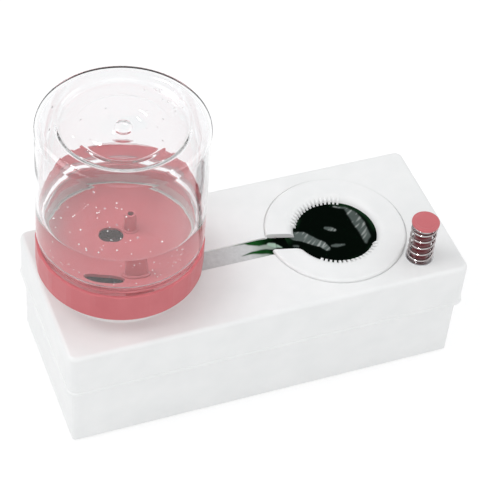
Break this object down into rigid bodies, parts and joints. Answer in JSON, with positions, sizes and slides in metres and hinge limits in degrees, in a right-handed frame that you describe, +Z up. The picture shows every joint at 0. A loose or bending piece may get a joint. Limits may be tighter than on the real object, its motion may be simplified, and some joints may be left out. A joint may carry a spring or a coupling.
{
  "type": "brush washer",
  "caption": "Box-shaped brush washer: lift-off lid with an upturned clear water jar, a channel to a ribbed rinse dish, and a sprung button that drains the dish into the box.",
  "frame": {"origin": "middle of the footprint at table level, under the rubber feet", "axes": "+X along the box from the jar towards the button, +Y from the front to the back, +Z up"},
  "size_m": [0.2416, 0.1044, 0.1888],
  "materials": {
    "white_plastic": "satin white injection-moulded plastic",
    "bush_plastic": "natural white low-friction plastic",
    "rose_plastic": "dusty pink plastic with a soft sheen",
    "clear_plastic": "clear blow-moulded bottle plastic",
    "silicone": "translucent silicone",
    "plug_rubber": "dark soft rubber",
    "foot_rubber": "dark rubber",
    "steel": "stainless steel",
    "spring_wire": "bright plated wire"
  },
  "bodies": {
    "base": {"base_box": "white_plastic", "foot_1": "foot_rubber", "foot_2": "foot_rubber", "foot_3": "foot_rubber", "foot_4": "foot_rubber"},
    "lid": {"lid": "white_plastic", "guide_bush": "bush_plastic", "spring_washer": "steel", "return_spring": "spring_wire"},
    "dish": {"rinse_dish": "white_plastic", "inlet_seal": "silicone"},
    "button": {"button_head": "rose_plastic", "button_stem": "rose_plastic", "stem_clip": "steel", "drain_arm": "bush_plastic", "arm_screw": "steel", "drain_plug": "plug_rubber"},
    "cap": {"jar_cap": "rose_plastic", "cap_seal": "silicone", "air_tube": "rose_plastic"},
    "jar": {"water_jar": "clear_plastic"}
  },
  "joints": [
    {"name": "lid_lift", "type": "slide", "parent": "base", "child": "lid", "axis": [0, 0, 1], "range_m": [0, 0.06]},
    {"name": "dish_lift", "type": "slide", "parent": "lid", "child": "dish", "axis": [0, 0, 1], "range_m": [0, 0.045]},
    {"name": "button_press", "type": "slide", "parent": "lid", "child": "button", "axis": [0, 0, -1], "range_m": [0, 0.008], "stiffness_N_per_m": 220, "springref_m": -0.008, "deforming": ["return_spring"]},
    {"name": "jar_lift", "type": "slide", "parent": "lid", "child": "cap", "axis": [0, 0, 1], "range_m": [0, 0.03]},
    {"name": "jar_turn", "type": "hinge", "parent": "cap", "child": "jar", "pos_m": [-0.0738, 0.0056, 0.103], "axis": [0, 0, 1], "range_deg": [0, 360]}
  ]
}
